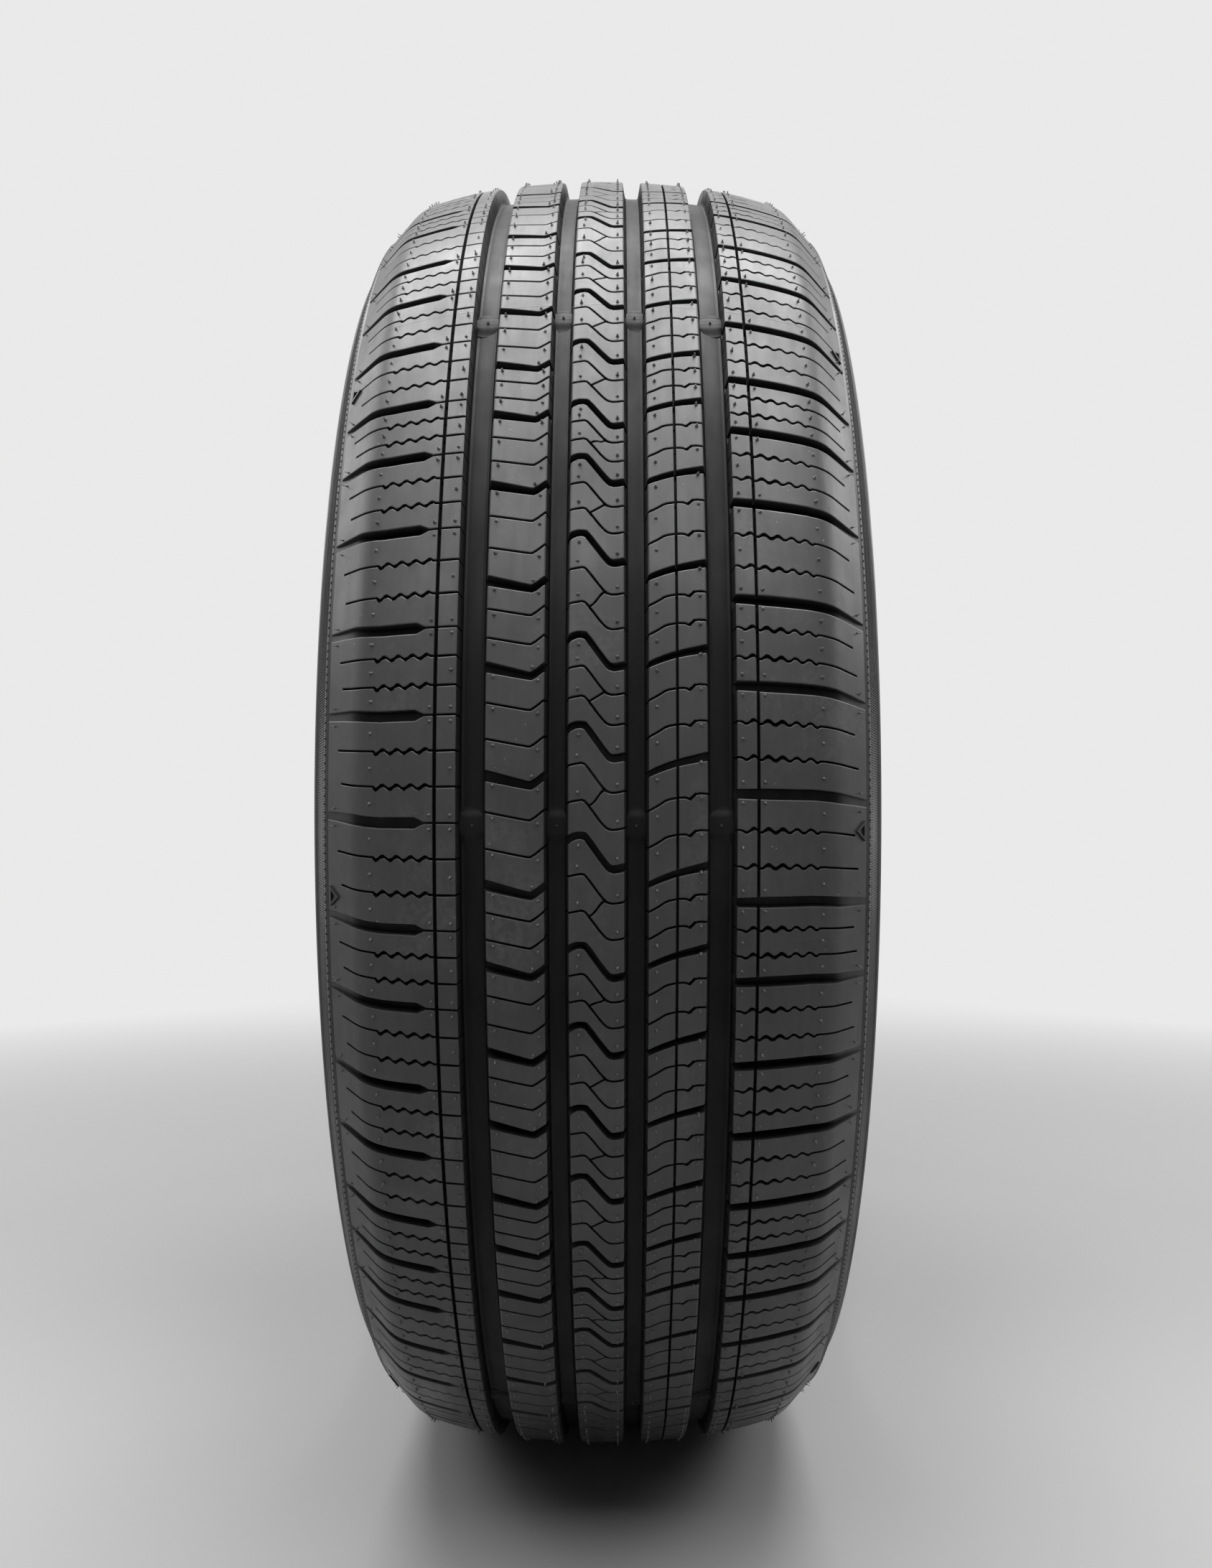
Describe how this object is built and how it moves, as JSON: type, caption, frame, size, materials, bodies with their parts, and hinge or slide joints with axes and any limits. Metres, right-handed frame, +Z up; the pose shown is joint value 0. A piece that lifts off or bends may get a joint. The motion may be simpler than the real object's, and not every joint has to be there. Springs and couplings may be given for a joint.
{
  "type": "car tyre",
  "caption": "Upright car tyre with four main grooves, sloped cross grooves and open beads for a drop-centre rim.",
  "frame": {"origin": "centre of the tyre, on its spin axis at the middle of its width", "axes": "+Y along the spin axis, +Z up, tread facing +X"},
  "size_m": [0.7242, 0.2332, 0.7232],
  "materials": {
    "rubber": "matt, with a soft sheen from the mould"
  },
  "bodies": {
    "root": {"tyre": "rubber"}
  },
  "joints": []
}
